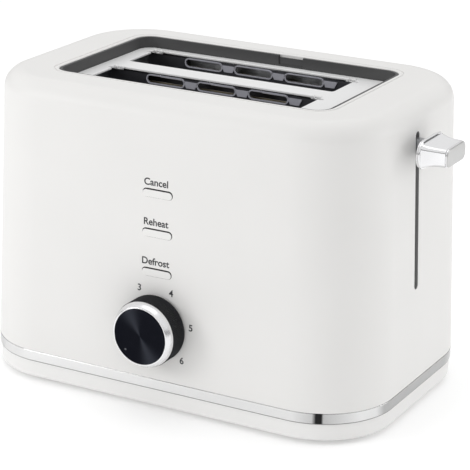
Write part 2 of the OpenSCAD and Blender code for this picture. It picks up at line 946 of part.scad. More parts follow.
// Sheet pan under the oven
module crumb_tray() {
    l = tray_x1 - tray_x0;
    w = tray_y1 - tray_y0;
    color(steel) place() translate([tray_x0, tray_y0, tray_z]) difference() {
        cube([l, w, tray_h]);
        translate([tray_t, tray_t, tray_t]) cube([l - 2 * tray_t, w - 2 * tray_t, tray_h]);
    }
}

// Front piece of the tray, flush with the skirt, with a ledge for the fingers
module crumb_tray_handle() {
    y0 = tray_y1;
    y1 = body_d / 2 - skirt_inset;
    color(white) place() difference() {
        translate([tray_x0, y0, tray_z])
            cube([tray_x1 - tray_x0, y1 - y0, tray_h + tray_gap - handle_margin]);
        translate([(tray_x0 + tray_x1) / 2 - 20, y1 - handle_t + 0.6, tray_z - 1]) cube([40, handle_t, 4]);
    }
}

outer_shell();
chrome_band();
base_tray();
rubber_feet();
base_screws();
top_collar();
slot_plate();
left_frame();
right_frame();
front_reflector();
rear_reflector();
front_heater();
middle_heater();
rear_heater();
front_element();
middle_element();
rear_element();
front_slot_outer_guard();
front_slot_inner_guard();
rear_slot_inner_guard();
rear_slot_outer_guard();
top_guide_bracket();
bottom_guide_bracket();
guide_rods();
rod_nuts();
magnet_core();
magnet_coil();
mains_switch();
control_board();
timer_chip();
relay();
capacitors();
key_switches();
browning_control();
control_nut();
cord_gland();
terminal_block();
carriage_plate();
front_bread_rest();
rear_bread_rest();
latch_keeper();
lift_spring();
lever_arm();
lever_flange();
lever_grip();
lever_cap();
control_shaft();
knob_body();
knob_ring();
knob_face();
knob_dot();
cancel_key();
cancel_plunger();
reheat_key();
reheat_plunger();
defrost_key();
defrost_plunger();
crumb_tray();
crumb_tray_handle();
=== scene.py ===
# %% [markdown]
# # A pop-up toaster, finished in Blender
#
# The sizes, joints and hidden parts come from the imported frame. This script gives the toaster its looks: the
# smooth moulded shell, the chromed band, the lever, the knob and its spun face, the keys, the bread slots,
# the printed scale, and a procedural finish for every piece.

# %% Load the frame and keep its box
import bpy
import bmesh
import math
from mathutils import Matrix, Vector


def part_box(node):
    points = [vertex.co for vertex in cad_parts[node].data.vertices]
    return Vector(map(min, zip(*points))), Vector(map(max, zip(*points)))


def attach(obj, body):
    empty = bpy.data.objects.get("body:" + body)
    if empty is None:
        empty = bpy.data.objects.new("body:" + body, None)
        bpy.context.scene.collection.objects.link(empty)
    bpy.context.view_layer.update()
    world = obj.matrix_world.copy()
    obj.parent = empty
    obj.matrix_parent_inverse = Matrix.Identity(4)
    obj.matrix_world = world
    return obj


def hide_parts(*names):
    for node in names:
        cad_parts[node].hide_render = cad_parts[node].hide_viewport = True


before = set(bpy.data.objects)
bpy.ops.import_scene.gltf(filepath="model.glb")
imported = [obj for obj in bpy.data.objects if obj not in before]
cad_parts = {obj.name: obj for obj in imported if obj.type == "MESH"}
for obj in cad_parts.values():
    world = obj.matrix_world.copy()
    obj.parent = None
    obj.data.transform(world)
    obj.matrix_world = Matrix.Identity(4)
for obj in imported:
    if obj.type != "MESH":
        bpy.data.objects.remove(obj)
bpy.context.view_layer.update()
MM = 0.001

# %% [markdown]
# ## Driving dimensions
#
# Places are read from the boxes of the frame's nodes. The few sizes that a box can't tell, such as a corner
# radius or the lean of a wall, are named here.

# %% Places read from the frame
shell_low, shell_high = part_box("outer_shell")
band_low, band_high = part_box("chrome_band")
base_low, base_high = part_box("base_tray")
plate_low, plate_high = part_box("slot_plate")
body_centre = (shell_low + shell_high) / 2
body_size = shell_high - shell_low
corner_radius = 47 * MM
edge_radius = 11.5 * MM
wall = 2.5 * MM
lean = Vector((5.9, 2.8)) * MM
skirt_inset = 0.9 * MM
skirt_top = band_low.z
floor_top = base_low.z + 2.5 * MM
wall_rise = shell_high.z - edge_radius - shell_low.z
panel_tilt = math.atan(lean.y / wall_rise)


def front_wall(z):
    """The y of the shell's front face at height z."""
    return shell_low.y + lean.y * (z - shell_low.z) / wall_rise


print("body centre", [round(v / MM, 1) for v in body_centre])
print("panel tilt", round(math.degrees(panel_tilt), 2))

# %% [markdown]
# ## Camera
#
# A long lens looks down a little at the front right corner, the way small appliances are usually shown. The
# camera's own axes are worked out first, and become the columns of its rotation.

# %% Place the camera
azimuth, elevation, roll = (math.radians(angle) for angle in (28.42, 18.91, 0.93))
camera_distance = 1.2611
target = Vector((body_centre.x + 0.01153, body_centre.y - 0.00947, base_low.z + 0.08889))
back = Vector((
    math.sin(azimuth) * math.cos(elevation),
    -math.cos(azimuth) * math.cos(elevation),
    math.sin(elevation),
))
level_right = Vector((math.cos(azimuth), math.sin(azimuth), 0))
level_up = back.cross(level_right)
camera_right = math.cos(roll) * level_right + math.sin(roll) * level_up
camera_up = math.cos(roll) * level_up - math.sin(roll) * level_right
lens_data = bpy.data.cameras.new("camera")
lens_data.sensor_width = 36
lens_data.lens = 156.3
camera = bpy.data.objects.new("camera", lens_data)
bpy.context.scene.collection.objects.link(camera)
camera.matrix_world = Matrix.Translation(target + back * camera_distance) @ Matrix(
    (camera_right, camera_up, back)).transposed().to_4x4()
bpy.context.scene.camera = camera
print("camera", [round(v, 3) for v in camera.location])

# %% [markdown]
# ## Light
#
# A white appliance on white is lit by the room itself: a white surround, darker along the horizon so that the
# chromed edges show a fine dark line, and soft boxes that model the faces. One box hangs overhead, one stands
# to the left of the panel, and one behind the lever throws the lever's shadow forward.

# %% Surround and soft boxes
bpy.context.scene.view_settings.view_transform = "Standard"
surround = bpy.data.worlds.new("surround")
surround.use_nodes = True
bpy.context.scene.world = surround
sky = surround.node_tree
sky_direction = sky.nodes.new("ShaderNodeTexCoord")
sky_axes = sky.nodes.new("ShaderNodeSeparateXYZ")
sky_tone = sky.nodes.new("ShaderNodeValToRGB")
sky.links.new(sky_direction.outputs["Generated"], sky_axes.inputs[0])
sky.links.new(sky_axes.outputs["Z"], sky_tone.inputs["Fac"])
sky.links.new(sky_tone.outputs["Color"], sky.nodes["Background"].inputs["Color"])
sky_tone.color_ramp.elements[0].color = (0.1, 0.1, 0.1, 1)
sky_tone.color_ramp.elements[1].color = (1, 1, 1, 1)
for height, tone in ((0.13, 0.12), (0.24, 1)):
    sky_tone.color_ramp.elements.new(height).color = (tone, tone, tone, 1)
sky.nodes["Background"].inputs["Strength"].default_value = 0.9


def soft_box(name, place, width, height, power):
    """A rectangular area light aimed at the body."""
    data = bpy.data.lights.new(name, "AREA")
    data.shape = "RECTANGLE"
    data.size, data.size_y, data.energy = width, height, power
    lamp = bpy.data.objects.new(name, data)
    bpy.context.scene.collection.objects.link(lamp)
    away = (Vector(place) - body_centre).to_track_quat("Z", "Y")
    lamp.matrix_world = Matrix.Translation(place) @ away.to_matrix().to_4x4()


soft_box("overhead_box", (0, 0.1, 1.4), 1.2, 1.2, 2.6)
soft_box("panel_box", (-0.72, -0.8, 0.42), 0.4, 0.4, 2.4)
soft_box("lever_box", (0.85, 0.52, 0.3), 0.25, 0.25, 1.1)

# %% [markdown]
# ## Shader helpers
#
# A finish is a node tree, and most of one is arithmetic on patterns. The class below wraps a socket, so that
# the arithmetic is written as Python, and one method adds any other node.

# %% Arithmetic on sockets, and a finish to hold them


class Field:
    """A number that varies over a surface."""

    def __init__(self, finish, socket):
        self.finish, self.socket = finish, socket

    def __add__(self, other):
        return self.finish.maths("ADD", self, other)

    def __radd__(self, other):
        return self.finish.maths("ADD", other, self)

    def __sub__(self, other):
        return self.finish.maths("SUBTRACT", self, other)

    def __rsub__(self, other):
        return self.finish.maths("SUBTRACT", other, self)

    def __mul__(self, other):
        return self.finish.maths("MULTIPLY", self, other)

    def __rmul__(self, other):
        return self.finish.maths("MULTIPLY", other, self)

    def __truediv__(self, other):
        return self.finish.maths("DIVIDE", self, other)

    def __pow__(self, other):
        return self.finish.maths("POWER", self, other)

    def sine(self):
        return self.finish.maths("SINE", self)

    def between(self, low, high):
        """0 below low, 1 above high, and a smooth step in between."""
        return self.finish.add("ShaderNodeMapRange", {"interpolation_type": "SMOOTHSTEP"}, {
            "Value": self, "From Min": low, "From Max": high})[0]


class Finish:
    """A material and the nodes in it."""

    def __init__(self, name):
        self.material = bpy.data.materials.new(name)
        self.material.use_nodes = True
        self.tree = self.material.node_tree
        self.shader = self.tree.nodes["Principled BSDF"]
        self.place = self.add("ShaderNodeTexCoord", {}, {}, only="Object")

    def set_input(self, socket, value):
        if isinstance(value, Field):
            self.tree.links.new(value.socket, socket)
        elif isinstance(value, bpy.types.NodeSocket):
            self.tree.links.new(value, socket)
        else:
            socket.default_value = value

    def add(self, kind, settings, inputs, only=None):
        """Adds a node; gives its outputs as fields, or the one that only names."""
        node = self.tree.nodes.new(kind)
        for key, value in settings.items():
            setattr(node, key, value)
        for key, value in inputs.items():
            self.set_input(node.inputs[key], value)
        if only:
            return Field(self, node.outputs[only])
        return [Field(self, socket) for socket in node.outputs if socket.enabled]

    def maths(self, operation, *values):
        return self.add("ShaderNodeMath", {"operation": operation}, dict(enumerate(values)))[0]

    def looks(self, **values):
        """Sets the shader's sockets, named with underscores for spaces."""
        for key, value in values.items():
            if isinstance(value, tuple) and len(value) == 3:
                value = value + (1,)
            self.set_input(self.shader.inputs[key.replace("_", " ")], value)
        return self

    def stretched(self, scale):
        """Object coordinates stretched by scale, for grain with a direction."""
        return self.add("ShaderNodeMapping", {}, {"Vector": self.place, "Scale": scale}, only="Vector")

    def noise(self, scale, detail=2.0, vector=None):
        return self.add("ShaderNodeTexNoise", {}, {
            "Vector": vector or self.place, "Scale": scale, "Detail": detail}, only="Fac")

    def cells(self, scale, output="Distance", vector=None):
        return self.add("ShaderNodeTexVoronoi", {}, {
            "Vector": vector or self.place, "Scale": scale}, only=output)

    def axis(self, name):
        return self.add("ShaderNodeSeparateXYZ", {}, {0: self.place}, only=name)

    def blend(self, factor, first, second):
        """A colour between first and second."""
        node = self.tree.nodes.new("ShaderNodeMix")
        node.data_type = "RGBA"
        self.set_input(node.inputs["Factor"], factor)
        for socket, colour in ((node.inputs[6], first), (node.inputs[7], second)):
            self.set_input(socket, colour + (1,) if isinstance(colour, tuple) else colour)
        return Field(self, node.outputs[2])

    def bumps(self, height, depth):
        """Normal of a relief whose height field is depth metres tall."""
        normal = self.add("ShaderNodeBump", {}, {"Height": height, "Distance": depth}, only="Normal")
        return self.looks(Normal=normal)


# %% [markdown]
# ## Finishes
#
# Moulded plastic is never mirror flat: the mould leaves a fine grain, and the sheen varies a little over a
# wide panel. Metals show how they were worked: rolled, brushed, plated or turned.


# %% Plastics and paints
def moulded(name, colour, rough, grain=0.02, grain_scale=1500, drift=0.04, gloss=0.5):
    """Moulded plastic: fine spark-eroded grain and a slow drift of colour and sheen."""
    finish = Finish(name)
    slow = finish.noise(18, 1)
    fine = finish.noise(grain_scale, 1)
    darker = tuple(c * (1 - drift) for c in colour)
    finish.looks(Base_Color=finish.blend(slow, darker, colour), Specular_IOR_Level=gloss,
                 Roughness=rough - 0.04 + 0.08 * slow + 0.04 * fine)
    return finish.bumps(fine, grain * MM).material


white_shell = moulded("white_shell", (0.795, 0.788, 0.775), 0.42, 0.012)
# The base's white is lifted a little above the shell's: painted light against the shade at the foot.
white_base_lifted = moulded("white_base_lifted", (0.83, 0.825, 0.815), 0.45, 0.012)
white_key = moulded("white_key", (0.805, 0.8, 0.787), 0.3, 0.004)
collar_grey = moulded("collar_grey", (0.06, 0.06, 0.061), 0.5, 0.02)
black_moulding = moulded("black_moulding", (0.02, 0.02, 0.022), 0.45)
nylon = moulded("nylon", (0.7, 0.68, 0.62), 0.4)
relay_blue = moulded("relay_blue", (0.05, 0.13, 0.35), 0.25, 0.004)
sleeve_black = moulded("sleeve_black", (0.02, 0.022, 0.05), 0.3, 0.004)
plunger_red = moulded("plunger_red", (0.45, 0.08, 0.05), 0.4)
knob_black = moulded("knob_black", (0.006, 0.0065, 0.009), 0.5, 0.006, gloss=0.25)
rubber = moulded("rubber", (0.025, 0.025, 0.025), 0.75, 0.03, 900)
plate_silver = moulded("plate_silver", (0.8, 0.8, 0.8), 0.35, 0.004)
# A lighter grey on the guards' rolled rims and tabs: a painted highlight on the dark sheet.
guard_painted_highlight = moulded("guard_painted_highlight", (0.45, 0.45, 0.5), 0.35, 0.004)
# A dark grey on the walls of the key windows and on the keys' sides: painted shade in the gaps.
painted_shade_grey = moulded("painted_shade_grey", (0.05, 0.05, 0.05), 0.6, 0.004)
# A mid grey on the walls of the lever's track: painted shade.
track_painted_shade = moulded("track_painted_shade", (0.28, 0.28, 0.28), 0.6, 0.004)
# A grey for thin hoops at the band's seams: painted shade in the joints.
seam_painted_shade = moulded("seam_painted_shade", (0.2, 0.2, 0.2), 0.6, 0.004)
print("plastics and paints:", len(bpy.data.materials))


# %% Metals
def metal(name, colour, rough, streak=(1, 1, 1), streak_scale=400, depth=0.004, spread=0.1):
    """Bare or plated metal: fine streaks of polish along one axis, and faint handling marks."""
    finish = Finish(name)
    lines = finish.noise(streak_scale, 2, finish.stretched(streak))
    marks = finish.noise(30, 2)
    finish.looks(
        Base_Color=finish.blend(marks, tuple(c * 0.96 for c in colour), colour),
        Metallic=1.0,
        Roughness=rough + spread * (0.5 * lines + 0.5 * marks) - spread / 2,
    )
    return finish.bumps(lines, depth * MM).material


chrome = metal("chrome", (0.84, 0.84, 0.85), 0.14, spread=0.05, depth=0.0008)
satin_chrome = metal("satin_chrome", (0.82, 0.82, 0.83), 0.26, spread=0.05, depth=0.0008)
lever_silver = metal("lever_silver", (0.54, 0.54, 0.535), 0.34, (1, 1, 30), 300, 0.003)
zinc = metal("zinc", (0.6, 0.61, 0.63), 0.35)
turned_steel = metal("turned_steel", (0.6, 0.6, 0.61), 0.2, (1, 1, 20))
tinned = metal("tinned", (0.7, 0.71, 0.72), 0.3, (20, 1, 1), 200)
dark_guard = metal("dark_guard", (0.14, 0.14, 0.155), 0.42, (1, 10, 10), 150, 0.01, 0.2)
ribbon = metal("ribbon", (0.22, 0.17, 0.14), 0.5, (1, 10, 10), 200)


def chromed_strip():
    """Plated strip whose base colour carries a painted reflection, darker at the far side and the corners than
    in front.

    Each pair below is an angle about the corner by the lever, in degrees from straight ahead, and a painted
    reflection tone.
    """
    finish = Finish("chromed_strip")
    across = finish.axis("X") - (body_centre.x + body_size.x / 2 - corner_radius)
    ahead = (body_centre.y - body_size.y / 2 + corner_radius) - finish.axis("Y")
    turn = finish.maths("ARCTAN2", across, ahead) * (0.5 / math.pi) + 0.5
    ramp = finish.tree.nodes.new("ShaderNodeValToRGB")
    finish.set_input(ramp.inputs["Fac"], turn)
    far_left, near_corner = ((-120, 0.5), (-91, 0.18), (-82, 0.3)), ((21.6, 0.02), (26.8, 0.02))
    front, right_end = ((-78.5, 0.72), (5, 0.7), (20.5, 0.5)), ((27.6, 0.44), (56, 0.72), (70, 0.7))
    side, far_right = ((78, 0.43), (156, 0.43)), ((158, 0.1), (162, 0.1))
    for degrees, tone in far_left + front + near_corner + right_end + side + far_right:
        ramp.color_ramp.elements.new(degrees / 360 + 0.5).color = (tone, tone, tone, 1)
    ramp.color_ramp.elements[0].color = ramp.color_ramp.elements[-1].color = (0.6, 0.6, 0.6, 1)
    finish.looks(Base_Color=ramp.outputs["Color"], Metallic=1.0, Roughness=0.08 + 0.05 * finish.noise(40))
    return finish.bumps(finish.noise(400, 1), 0.0008 * MM).material


def galvanised_sheet():
    """Zinc coated sheet, with the flower pattern of the cooled zinc."""
    finish = Finish("galvanised")
    flower = finish.cells(160, "Color")
    tone = finish.add("ShaderNodeRGBToBW", {}, {0: flower})[0]
    finish.looks(Base_Color=finish.blend(tone, (0.42, 0.43, 0.45), (0.6, 0.61, 0.63)), Metallic=1.0,
                 Roughness=0.32 + 0.2 * tone)
    return finish.bumps(tone, 0.006 * MM).material


def mica_card():
    """Pressed mica: overlapping glittering flakes."""
    finish = Finish("mica")
    flake = finish.add("ShaderNodeRGBToBW", {}, {0: finish.cells(220, "Color")})[0]
    finish.looks(Base_Color=finish.blend(flake, (0.17, 0.135, 0.085), (0.34, 0.29, 0.2)),
                 Roughness=0.25 + 0.3 * flake)
    return finish.bumps(flake, 0.03 * MM).material


def wound_copper():
    """Lacquered copper wire in close turns."""
    finish = Finish("wound_copper")
    turns = (finish.axis("Z") * (2 * math.pi / (0.35 * MM))).sine() * 0.5 + 0.5
    finish.looks(Base_Color=finish.blend(turns, (0.25, 0.08, 0.03), (0.8, 0.33, 0.14)), Metallic=1.0,
                 Roughness=0.3)
    return finish.bumps(turns, 0.1 * MM).material


def laminated_iron():
    """Stacked iron sheets seen from their edges."""
    finish = Finish("laminated_iron")
    layers = (finish.axis("X") * (2 * math.pi / (0.5 * MM))).sine() * 0.5 + 0.5
    finish.looks(Base_Color=finish.blend(layers, (0.12, 0.12, 0.125), (0.35, 0.35, 0.36)), Metallic=1.0,
                 Roughness=0.45)
    return finish.bumps(layers, 0.05 * MM).material


def circuit_board():
    """Green lacquer over copper tracks."""
    finish = Finish("circuit_board")
    track = finish.cells(260, "Distance", finish.stretched((1, 1, 0.35))).between(0.35, 0.42)
    finish.looks(Base_Color=finish.blend(track, (0.02, 0.12, 0.04), (0.05, 0.2, 0.06)), Roughness=0.35)
    return finish.bumps(track, 0.03 * MM).material


galvanised, mica, copper_wire = galvanised_sheet(), mica_card(), wound_copper()
core_iron, board_green = laminated_iron(), circuit_board()
print("finishes so far:", len(bpy.data.materials))

# %% [markdown]
# ## Modelling helpers
#
# Every piece starts as a primitive and is shaped in edit mode. Blender's operators act on what is selected,
# so one helper clears the selection, and another selects corners, edges or faces by a test.


# %% Selecting and shaping
def clear_selection():
    if bpy.context.object and bpy.context.object.mode != "OBJECT":
        bpy.ops.object.mode_set(mode="OBJECT")
    bpy.ops.object.select_all(action="DESELECT")


def activate(piece):
    clear_selection()
    piece.select_set(True)
    bpy.context.view_layer.objects.active = piece


def block(name, low, high):
    """A box between two corners."""
    clear_selection()
    low, high = Vector(low), Vector(high)
    bpy.ops.mesh.primitive_cube_add(size=1, location=(low + high) / 2, scale=high - low)
    piece = bpy.context.object
    piece.name = name
    bpy.ops.object.transform_apply(location=True, rotation=True, scale=True)
    return piece


def rod(name, centre, radius, length, axis="Z", sides=64):
    """A cylinder about a centre along an axis."""
    clear_selection()
    turn = {"X": (0, math.pi / 2, 0), "Y": (math.pi / 2, 0, 0), "Z": (0, 0, 0)}[axis]
    bpy.ops.mesh.primitive_cylinder_add(vertices=sides, radius=radius, depth=length, location=centre,
                                        rotation=turn)
    piece = bpy.context.object
    piece.name = name
    bpy.ops.object.transform_apply(location=True, rotation=True, scale=True)
    return piece


def pick(piece, kind, test):
    """Goes into edit mode with the corners, edges or faces selected for which test is true."""
    if bpy.context.view_layer.objects.active is not piece or piece.mode != "EDIT":
        activate(piece)
        bpy.ops.object.mode_set(mode="EDIT")
    bpy.ops.mesh.select_mode(type=kind)
    bpy.ops.mesh.select_all(action="DESELECT")
    shape = bmesh.from_edit_mesh(piece.data)
    for item in {"VERT": shape.verts, "EDGE": shape.edges, "FACE": shape.faces}[kind]:
        if test(item):
            item.select_set(True)
    shape.select_flush_mode()
    bmesh.update_edit_mesh(piece.data)


def round_edges(piece, test, radius, segments):
    pick(piece, "EDGE", test)
    bpy.ops.mesh.bevel(offset=radius, offset_type="OFFSET", segments=segments, profile=0.5, affect="EDGES")
    bpy.ops.object.mode_set(mode="OBJECT")


def along(axis):
    """A test for edges that run along an axis."""
    index = "XYZ".index(axis)

    def test(edge):
        step = edge.verts[1].co - edge.verts[0].co
        return abs(step[index]) > 0.999 * step.length
    return test


def at_level(axis, value):
    """A test for corners, edges or faces that lie wholly at one coordinate."""
    index = "XYZ".index(axis)

    def test(item):
        corners = [item] if isinstance(item, bmesh.types.BMVert) else item.verts
        return all(abs(v.co[index] - value) < 0.02 * MM for v in corners)
    return test


def steep(edge, angle=1.2):
    """Edges where two faces meet at more than an angle, in radians."""
    return len(edge.link_faces) == 2 and edge.calc_face_angle() > angle


def rounded_block(name, low, high, radius, axis="Z", segments=24):
    """A box whose edges along one axis are rounded."""
    piece = block(name, low, high)
    round_edges(piece, along(axis), radius, segments)
    return piece


def add_modifier(piece, kind, **settings):
    """Adds a modifier and applies it."""
    activate(piece)
    modifier = piece.modifiers.new(kind.lower(), kind)
    for key, value in settings.items():
        setattr(modifier, key, value)
    bpy.ops.object.modifier_apply(modifier=modifier.name)


def cut(piece, cutter, operation="DIFFERENCE"):
    """Takes a cutter out of a piece."""
    add_modifier(piece, "BOOLEAN", operation=operation, object=cutter, solver="EXACT")
    bpy.data.objects.remove(cutter)


def join(pieces, name):
    """Joins pieces into one."""
    clear_selection()
    for piece in pieces:
        piece.select_set(True)
    bpy.context.view_layer.objects.active = pieces[0]
    bpy.ops.object.join()
    joined = bpy.context.object
    joined.name = name
    return joined


def hollow(piece, axis, thickness):
    """Makes a ring of a block: its two ends along an axis are set in, taken out and bridged."""
    index = "XYZ".index(axis)
    pick(piece, "FACE", lambda face: abs(face.normal[index]) > 0.99)
    bpy.ops.mesh.inset(thickness=thickness)
    bpy.ops.mesh.delete(type="FACE")
    pick(piece, "EDGE", lambda edge: len(edge.link_faces) == 1)
    bpy.ops.mesh.bridge_edge_loops()
    bpy.ops.object.mode_set(mode="OBJECT")
    return piece


def hoop(name, low, high, radius, thickness, segments=28, soften=0.45 * MM):
    """A rounded rectangular ring that lies flat."""
    piece = hollow(rounded_block(name, low, high, radius, "Z", segments), "Z", thickness)
    if soften:
        round_edges(piece, steep, soften, 3)
    return piece


def copy_moved(piece, offset, name):
    """A copy with its own mesh, moved by offset."""
    activate(piece)
    bpy.ops.object.duplicate(linked=False)
    twin = bpy.context.object
    twin.name = name
    twin.location = offset
    bpy.ops.object.transform_apply(location=True, rotation=True, scale=True)
    return twin


def finish_piece(piece, material, body, replaces=(), smooth=35, weigh=True):
    """Smooth shading, finish and body for a piece; hides the frame's nodes that it replaces."""
    activate(piece)
    piece.data.materials.clear()
    piece.data.materials.append(material)
    bpy.ops.object.shade_smooth_by_angle(angle=math.radians(smooth))
    if weigh:
        add_modifier(piece, "WEIGHTED_NORMAL", keep_sharp=True, weight=60)
    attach(piece, body)
    if replaces:
        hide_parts(*replaces)
    print(piece.name, len(piece.data.polygons), "faces")
    return piece


# %% [markdown]
# ## The shell
#
# The shell is one large moulding: upright corners of a generous radius, walls that lean in so that it leaves
# its mould, and a soft edge around the top. A box gives it all in four steps: round the upright edges, scale
# the top for the lean, round the top edge, and give the skin its thickness. The openings are cut afterwards.

# %% Body of the shell
shell = block("shell_skin", shell_low, shell_high)
round_edges(shell, along("Z"), corner_radius, 28)
pick(shell, "FACE", at_level("Z", shell_high.z))
full_rise = (shell_high.z - shell_low.z) / wall_rise
narrow_x = 1 - 2 * lean.x * full_rise / body_size.x
narrow_y = 1 - 2 * lean.y * full_rise / body_size.y
bpy.ops.transform.resize(value=(narrow_x, narrow_y, 1), center_override=(*body_centre.xy, shell_high.z))
bpy.ops.object.mode_set(mode="OBJECT")
round_edges(shell, at_level("Z", shell_high.z), edge_radius, 12)
pick(shell, "FACE", at_level("Z", shell_low.z))
bpy.ops.mesh.delete(type="FACE")
bpy.ops.object.mode_set(mode="OBJECT")
add_modifier(shell, "SOLIDIFY", thickness=wall, offset=-1, use_even_offset=True)
print("shell", len(shell.data.polygons), "faces")

# %% [markdown]
# The cutters are the shapes that pass through the walls: the recess for the bread slots, the track of the
# lever, the three key windows and the holes for the knob and the cord.

# %% Openings of the shell
flange_width = 4 * MM
collar_low, collar_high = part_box("top_collar")
open_low = collar_low.xy + Vector((flange_width, flange_width))
open_high = collar_high.xy - Vector((flange_width, flange_width))
open_radius = 11 * MM
above, below = shell_high.z + 0.01, shell_high.z - 0.02
recess = rounded_block("recess", (*open_low, below), (*open_high, above), open_radius, "Z", 12)
cut(shell, recess)

arm_low, arm_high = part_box("lever_arm")
track_y = (arm_low.y + arm_high.y) / 2
lever_z = (arm_low.z + arm_high.z) / 2
lift = 78 * MM
track_width = 5 * MM
track_start, track_end = body_centre.x + 0.11, body_centre.x + 0.15
track = rounded_block(
    "track",
    (track_start, track_y - track_width / 2, lever_z - lift - 10 * MM),
    (track_end, track_y + track_width / 2, lever_z + 9 * MM),
    track_width / 2 - 0.05 * MM, "X", 8)
cut(shell, track)

key_size = Vector((20, 5)) * MM
key_gap = 0.35 * MM
key_seam = 0.04 * MM
key_heights = {}
for name in ("cancel_key", "reheat_key", "defrost_key"):
    key_low, key_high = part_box(name)
    key_heights[name] = (key_low.z + key_high.z) / 2
panel_x = (key_low.x + key_high.x) / 2
for height in key_heights.values():
    half = key_size / 2
    window = rounded_block(
        "window",
        (panel_x - half.x - key_seam, shell_low.y - 0.01, height - half.y - key_seam),
        (panel_x + half.x + key_gap, shell_low.y + 0.02, height + half.y + key_gap),
        key_size.y / 2 + 0.1 * MM, "Y", 8)
    cut(shell, window)

control_low, control_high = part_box("browning_control")
knob_axis = Vector((panel_x, 0, (control_low.z + control_high.z) / 2))
cut(shell, rod("bush_hole", (panel_x, shell_low.y, knob_axis.z), 4.7 * MM, 0.04, "Y"))
gland_low, gland_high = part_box("cord_gland")
gland_centre = (gland_low + gland_high) / 2
gland_flange = (gland_high.x - gland_low.x) / 2
cut(shell, rod("gland_hole", (gland_centre.x, shell_high.y, gland_centre.z), 5.2 * MM, 0.04, "Y"))
cut(shell, rod("gland_seat", (gland_centre.x, shell_high.y, gland_centre.z), gland_flange + 0.2 * MM,
               3.2 * MM, "Y"))
print("shell after cutting", len(shell.data.polygons), "faces")

# %% [markdown]
# Around the recess runs a low bead, set off from the top by a fine groove. The rim itself is softened.


# %% Bead, softened rim and foot, and the finish of the shell
def is_outer(edge):
    """Edges on the outline of the shell's foot, not on its inner side."""
    side = body_size / 2
    for vertex in edge.verts:
        away = Vector((abs(vertex.co.x - body_centre.x), abs(vertex.co.y - body_centre.y)))
        corner = away - side.xy + Vector((corner_radius, corner_radius))
        if corner.x > 0 and corner.y > 0:
            gap = corner_radius - corner.length
        else:
            gap = min(side.x - away.x, side.y - away.y)
        if gap > 0.5 * MM:
            return False
    return True


def on_rim(edge):
    """Edges of the recess at the top of the shell."""
    inside = all(open_low.x - MM < v.co.x < open_high.x + MM and open_low.y - MM < v.co.y < open_high.y + MM
                 for v in edge.verts)
    return inside and at_level("Z", shell_high.z)(edge) and steep(edge, 0.5)


round_edges(shell, on_rim, 0.7 * MM, 4)
foot = at_level("Z", shell_low.z)
round_edges(shell, lambda edge: steep(edge) and foot(edge) and is_outer(edge), 0.5 * MM, 3)
bead = Vector((3.2, 3.2, 0)) * MM
groove_low = Vector((*open_low, shell_high.z - 0.4 * MM)) - bead
groove_high = Vector((*open_high, shell_high.z + MM)) + bead
cut(shell, hoop("bead_groove", groove_low, groove_high, open_radius + bead.x, 0.8 * MM, 12, 0))
finish_piece(shell, white_shell, "housing", ["outer_shell"])
# Painted shade: the walls of the key windows get a dark grey and the walls of the lever's track a mid grey.
shell.data.materials.append(painted_shade_grey)
shell.data.materials.append(track_painted_shade)
for face in shell.data.polygons:
    centre = face.center
    track_shaded = (centre.x > track_start and abs(centre.y - track_y) < 0.52 * track_width
                and abs(face.normal.x) < 0.5 and centre.z < lever_z + 0.011)
    window_shaded = (centre.y < body_centre.y - 0.07 and abs(face.normal.y) < 0.5 and any(
        abs(centre.x - panel_x) < 0.56 * key_size.x and abs(centre.z - height) < 0.7 * key_size.y
        for height in key_heights.values()))
    if track_shaded or window_shaded:
        face.material_index = 2 if track_shaded else 1

# %% [markdown]
# ## Band and base
#
# The chromed band is a plain hoop, clipped between the shell and the base. The base is a shallow tray whose
# skirt stands a little inside the band.


# %% Band
band = hoop("chromed_band", band_low, band_high, corner_radius, 3 * MM)
# The band's finish paints a reflection of the room into its base colour.
finish_piece(band, chromed_strip(), "housing", ["chrome_band"])
# A thin grey hoop at each joint of the band paints the shade in the seam.
for name, level in (("upper_seam", band_high.z), ("lower_seam", band_low.z)):
    seam_inset = Vector((0.3, 0.3, 0)) * MM
    reach = Vector((0, 0, 0.3)) * MM
    low, high = Vector((*band_low.xy, level)) + seam_inset, Vector((*band_high.xy, level)) - seam_inset
    seam = hoop(name, low - reach, high + reach, corner_radius - seam_inset.x, 2 * MM, 28, 0)
    finish_piece(seam, seam_painted_shade, "housing", weigh=False)

# %% Base tray
skirt_low = Vector((shell_low.x + skirt_inset, shell_low.y + skirt_inset, base_low.z))
skirt_high = Vector((shell_high.x - skirt_inset, shell_high.y - skirt_inset, skirt_top))
base = rounded_block("base_moulding", skirt_low, skirt_high, corner_radius - skirt_inset, "Z", 28)
round_edges(base, at_level("Z", base_low.z), 1.6 * MM, 5)
pick(base, "FACE", at_level("Z", skirt_top))
bpy.ops.mesh.inset(thickness=2.3 * MM)
bpy.ops.mesh.extrude_region_move(TRANSFORM_OT_translate={"value": (0, 0, base_high.z - skirt_top)})
bpy.ops.mesh.inset(thickness=1.5 * MM)
bpy.ops.mesh.extrude_region_move(TRANSFORM_OT_translate={"value": (0, 0, floor_top - base_high.z)})
bpy.ops.object.mode_set(mode="OBJECT")
tray_low, tray_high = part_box("crumb_tray_handle")
margin = 0.4 * MM
cut(base, block("tray_mouth", (tray_low.x - margin, tray_low.y - MM, floor_top),
                (tray_high.x + margin, tray_high.y + 0.01, tray_high.z + margin)))
tray_x = (tray_low.x + tray_high.x) / 2
vent_offset, vent_pitch = 98 * MM, 5 * MM
for side in (-1, 1):
    for step in range(-2, 3):
        x = tray_x + side * vent_offset + step * vent_pitch
        cut(base, rounded_block("vent", (x - 1.2 * MM, body_centre.y - 0.02, base_low.z - MM),
                                (x + 1.2 * MM, body_centre.y + 0.02, floor_top + MM), 1.1 * MM, "Z", 6))
finish_piece(base, white_base_lifted, "housing", ["base_tray"])
